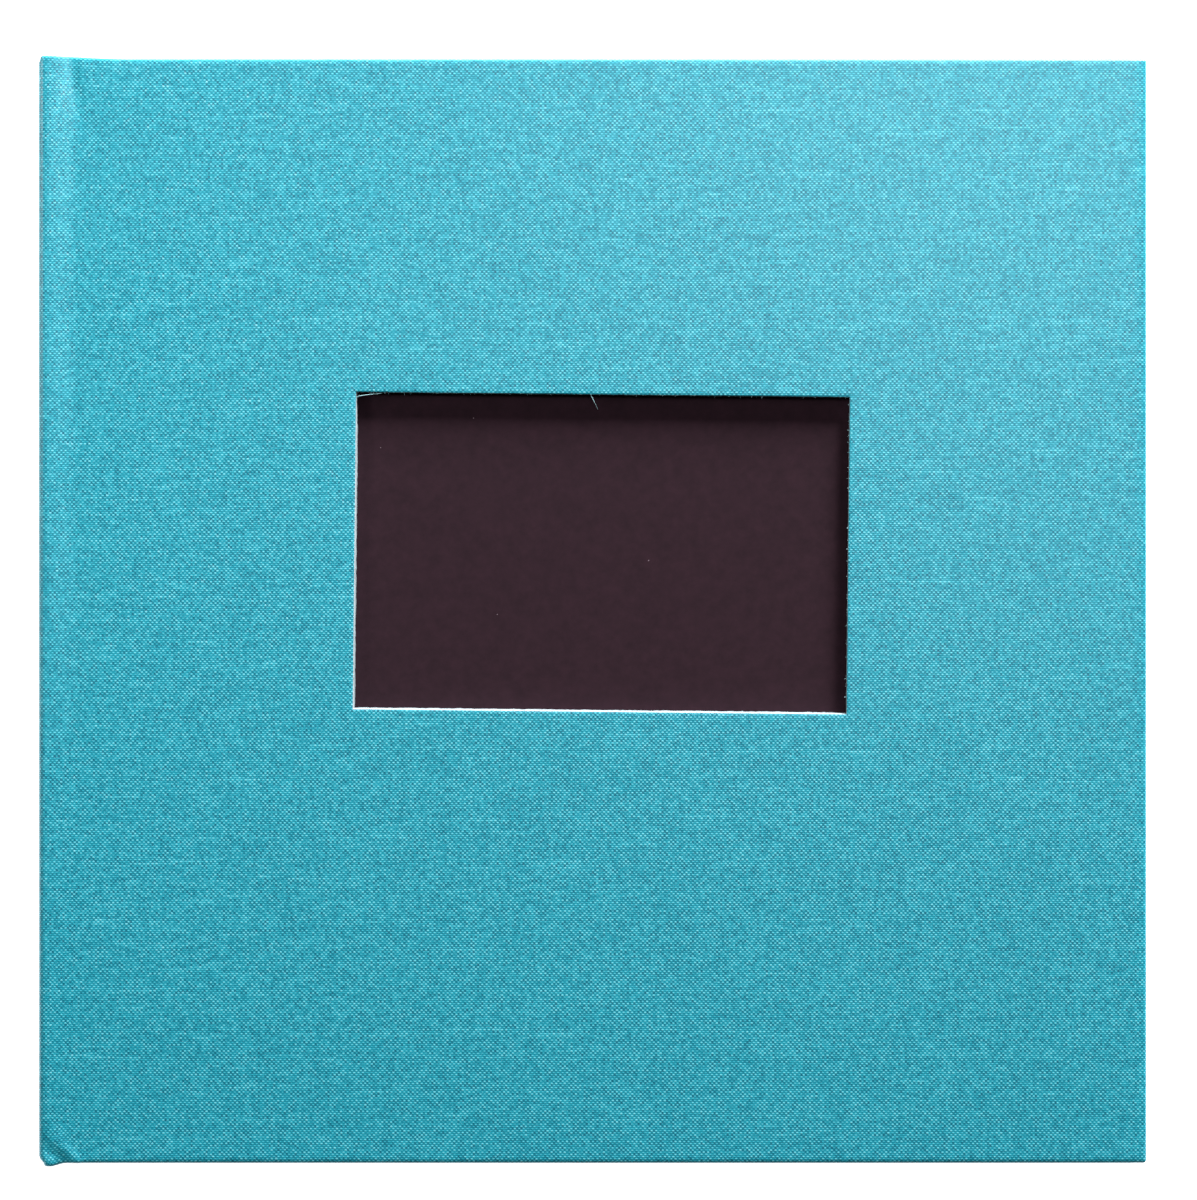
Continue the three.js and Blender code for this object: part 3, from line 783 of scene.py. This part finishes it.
def card_leaf(number):
    """One leaf as a single sheet of card, scored, very slightly waved, and punched."""
    stub_low, stub_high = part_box(f"stub_{number}")
    page_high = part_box(f"leaf_{number}")[1]
    score = score_x[f"leaf_{number}"]
    stub_lines = list(np.arange(stub_low.x, score - 2 * MM, 6 * MM))
    score_lines = list(np.linspace(score - 1.5 * MM, score + 1.5 * MM, 13))
    page_lines = list(np.linspace(score + 4 * MM, page_high.x, 26))
    x_lines = stub_lines + score_lines + page_lines
    y_lines = np.linspace(stub_low.y, stub_high.y, 29)
    middle = (stub_low.z + stub_high.z) / 2
    mesh = bmesh.new()
    grid = []
    for x in x_lines:
        score_dip = SCORE_DEPTH * max(0, 1 - abs(x - score) / SCORE_HALF_WIDTH)
        loose = smooth(score + 10 * MM, page_high.x, x)
        row = []
        for y in y_lines:
            wave = noise.noise(Vector((x / (140 * MM), y / (110 * MM), 7.3 * number)))
            row.append(mesh.verts.new((x, y, middle + 0.35 * MM * wave * loose - score_dip)))
        grid.append(row)
    for near, far in zip(grid, grid[1:]):
        for j in range(len(y_lines) - 1):
            mesh.faces.new((near[j], far[j], far[j + 1], near[j + 1]))
    leaf = piece_of(f"card_leaf_{number}", mesh)
    body = leaf.modifiers.new("thickness", "SOLIDIFY")
    body.thickness = stub_high.z - stub_low.z
    body.offset = 0
    return finished(punched(leaf), crease=25)


holes_punch = punch()
page_card = pulp_card("page_card", "#eeebe2", "#e9e5da")
leaf_numbers = [int(name.split("_")[1]) for name in frame["bodies"] if name.startswith("leaf_")]
for number in leaf_numbers:
    leaf = card_leaf(number)
    leaf.data.materials.append(page_card)
    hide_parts(f"stub_{number}", f"leaf_{number}")
    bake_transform(leaf)

spacers = [name for name in frame["nodes"] if name.startswith("spacer_")]
dress(pulp_card("spacer_card", "#e9e3d6", "#e2dccd"), *spacers)

# ---- Clamp strip ----
# A strip of board wrapped in the lining paper is pressed down on the block by the screws. Its paper
# is drawn round the edges, so they are soft.


def wrapped_strip():
    low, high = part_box("clamp_strip")
    mesh = bmesh.new()
    bmesh.ops.create_cube(mesh, size=1)
    for vert in mesh.verts:
        vert.co = [low[k] + (vert.co[k] + 0.5) * (high[k] - low[k]) for k in range(3)]
    strip = piece_of("wrapped_clamp_strip", mesh)
    edge = strip.modifiers.new("edge", "BEVEL")
    edge.width = 0.4 * MM
    edge.segments = 4
    return finished(punched(strip))


strip = wrapped_strip()
strip.data.materials.append(plum_paper)
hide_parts("clamp_strip")
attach(strip, "back_cover")

# ---- Screws ----
# Three nickel-plated screws with wide domed heads and a coin slot close the posts. They are turned
# from rod, slotted and plated, and each stopped at its own angle when it was tightened.

HEAD_RIM = 0.42 * MM
SLOT_WIDTH = 1.2 * MM
SLOT_DEPTH = 0.4 * MM
THREAD_RADIUS = 1.5 * MM


def turned_screw():
    """One screw on the Z axis, with the underside of its head at the origin."""
    low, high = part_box("post_screw_2")
    radius = (high.x - low.x) / 2
    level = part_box("clamp_strip")[1].z + 0.05 * MM
    dome, shank = high.z - level, level - low.z
    outline = [(0, -shank), (THREAD_RADIUS - 0.3 * MM, -shank), (THREAD_RADIUS, 0.3 * MM - shank),
               (THREAD_RADIUS, 0), (radius - 0.1 * MM, 0), (radius, 0.1 * MM),
               (radius, HEAD_RIM - 0.12 * MM)]
    for share in np.linspace(0.97, 0, 9):
        outline.append((radius * share, HEAD_RIM + (dome - HEAD_RIM) * (1 - share**2)))
    mesh = bmesh.new()
    verts = [mesh.verts.new((x, 0, z)) for x, z in outline]
    edges = [mesh.edges.new(pair) for pair in zip(verts, verts[1:])]
    bmesh.ops.spin(mesh, geom=verts + edges, cent=(0, 0, 0), axis=(0, 0, 1), angle=2 * math.pi, steps=40)
    bmesh.ops.remove_doubles(mesh, verts=mesh.verts, dist=1e-6)
    bmesh.ops.recalc_face_normals(mesh, faces=mesh.faces)
    screw = piece_of("turned_screw", mesh)

    cutter_mesh = bmesh.new()
    bmesh.ops.create_cube(cutter_mesh, size=1)
    for vert in cutter_mesh.verts:
        vert.co = (vert.co.x * 3 * radius, vert.co.y * SLOT_WIDTH, dome + vert.co.z * 2 * SLOT_DEPTH)
    cutter = piece_of("slot_cutter", cutter_mesh)
    slot = screw.modifiers.new("slot", "BOOLEAN")
    slot.object = cutter
    slot.solver = "EXACT"
    finished(screw)
    data = screw.data
    bpy.data.objects.remove(screw)
    bpy.data.objects.remove(cutter)
    return data


def row_of_screws_tree():
    """Copies of a screw in a row, each turned to its own angle."""
    tree, given, result = new_node_tree(
        "row_of_screws", count="NodeSocketInt", start="NodeSocketVector", spacing="NodeSocketVector",
        finish="NodeSocketMaterial")
    row = add(tree, "GeometryNodeMeshLine",
              {"Count": given["count"], "Start Location": given["start"], "Offset": given["spacing"]})
    turn = add(tree, "FunctionNodeRandomValue",
               {0: (0, 0, 0.3), 1: (0, 0, 2.8), "Seed": 3}, data_type="FLOAT_VECTOR")
    placed = add(tree, "GeometryNodeInstanceOnPoints",
                 {"Points": row, "Instance": given["Geometry"], "Rotation": turn.outputs[0]})
    solid = add(tree, "GeometryNodeRealizeInstances", {"Geometry": placed})
    dressed = add(tree, "GeometryNodeSetMaterial", {"Geometry": solid, "Material": given["finish"]})
    tree.links.new(dressed.outputs[0], result.inputs["Geometry"])
    return tree


def place_of(node):
    low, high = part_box(node)
    return Vector(((low.x + high.x) / 2, (low.y + high.y) / 2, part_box("clamp_strip")[1].z + 0.05 * MM))


screws = grown("slotted_screws", row_of_screws_tree(), turned_screw(), count=3, finish=nickel,
               start=place_of("post_screw_1"), spacing=place_of("post_screw_2") - place_of("post_screw_1"))
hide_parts("post_screw_1", "post_screw_2", "post_screw_3")
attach(screws, "back_cover")
bpy.data.objects.remove(holes_punch)

# ---- Stage ----
# A white floor, a low softbox beyond the head, a high one over it and a weak one at the left. The
# surround is white behind the album, and as a light it is dim.

SURROUND_LIGHT = 0.03
CAMERA_HEIGHT = 1.3
CAMERA_OFFSET = (1.7 * MM, 3.1 * MM)
FRAME_SPAN = 340 * MM

bpy.ops.mesh.primitive_plane_add(size=6)
floor = bpy.context.object
floor.name = "floor"
white, floor_tree, floor_shader = new_material("white_floor", 0.8)
floor_shader.inputs["Base Color"].default_value = (0.9, 0.9, 0.9, 1)
floor_shader.inputs["Emission Color"].default_value = (1, 1, 1, 1)
floor_shader.inputs["Emission Strength"].default_value = 1.0
floor.data.materials.append(white)

world = bpy.data.worlds.new("surround")
bpy.context.scene.world = world
world.use_nodes = True
background = world.node_tree.nodes["Background"]
background.inputs["Color"].default_value = (1, 1, 1, 1)
looked_at = add(world.node_tree, "ShaderNodeLightPath").outputs["Is Camera Ray"]
strength = add(world.node_tree, "ShaderNodeMath",
               {0: looked_at, 1: 1 - SURROUND_LIGHT, 2: SURROUND_LIGHT}, operation="MULTIPLY_ADD")
world.node_tree.links.new(strength.outputs[0], background.inputs["Strength"])


def softbox(name, place, size, power):
    """A square softbox that faces the album."""
    lamp = bpy.data.lights.new(name, "AREA")
    lamp.size = size
    lamp.energy = power
    box = bpy.data.objects.new(name, lamp)
    bpy.context.scene.collection.objects.link(box)
    box.location = place
    box.rotation_euler = (-box.location).to_track_quat("-Z", "Y").to_euler()


softbox("low_softbox", (0.66, 1.53, 0.42), 0.45, 100)
softbox("high_softbox", (0.27, 0.55, 1.80), 0.30, 7.2)
softbox("left_softbox", (-0.70, 0.25, 0.45), 0.20, 2.2)

camera = bpy.data.objects.new("camera", bpy.data.cameras.new("camera"))
bpy.context.scene.collection.objects.link(camera)
camera.location = (*CAMERA_OFFSET, ALBUM_TOP + CAMERA_HEIGHT)
camera.data.lens = camera.data.sensor_width * CAMERA_HEIGHT / FRAME_SPAN
bpy.context.scene.camera = camera
bpy.context.scene.view_settings.view_transform = "Standard"
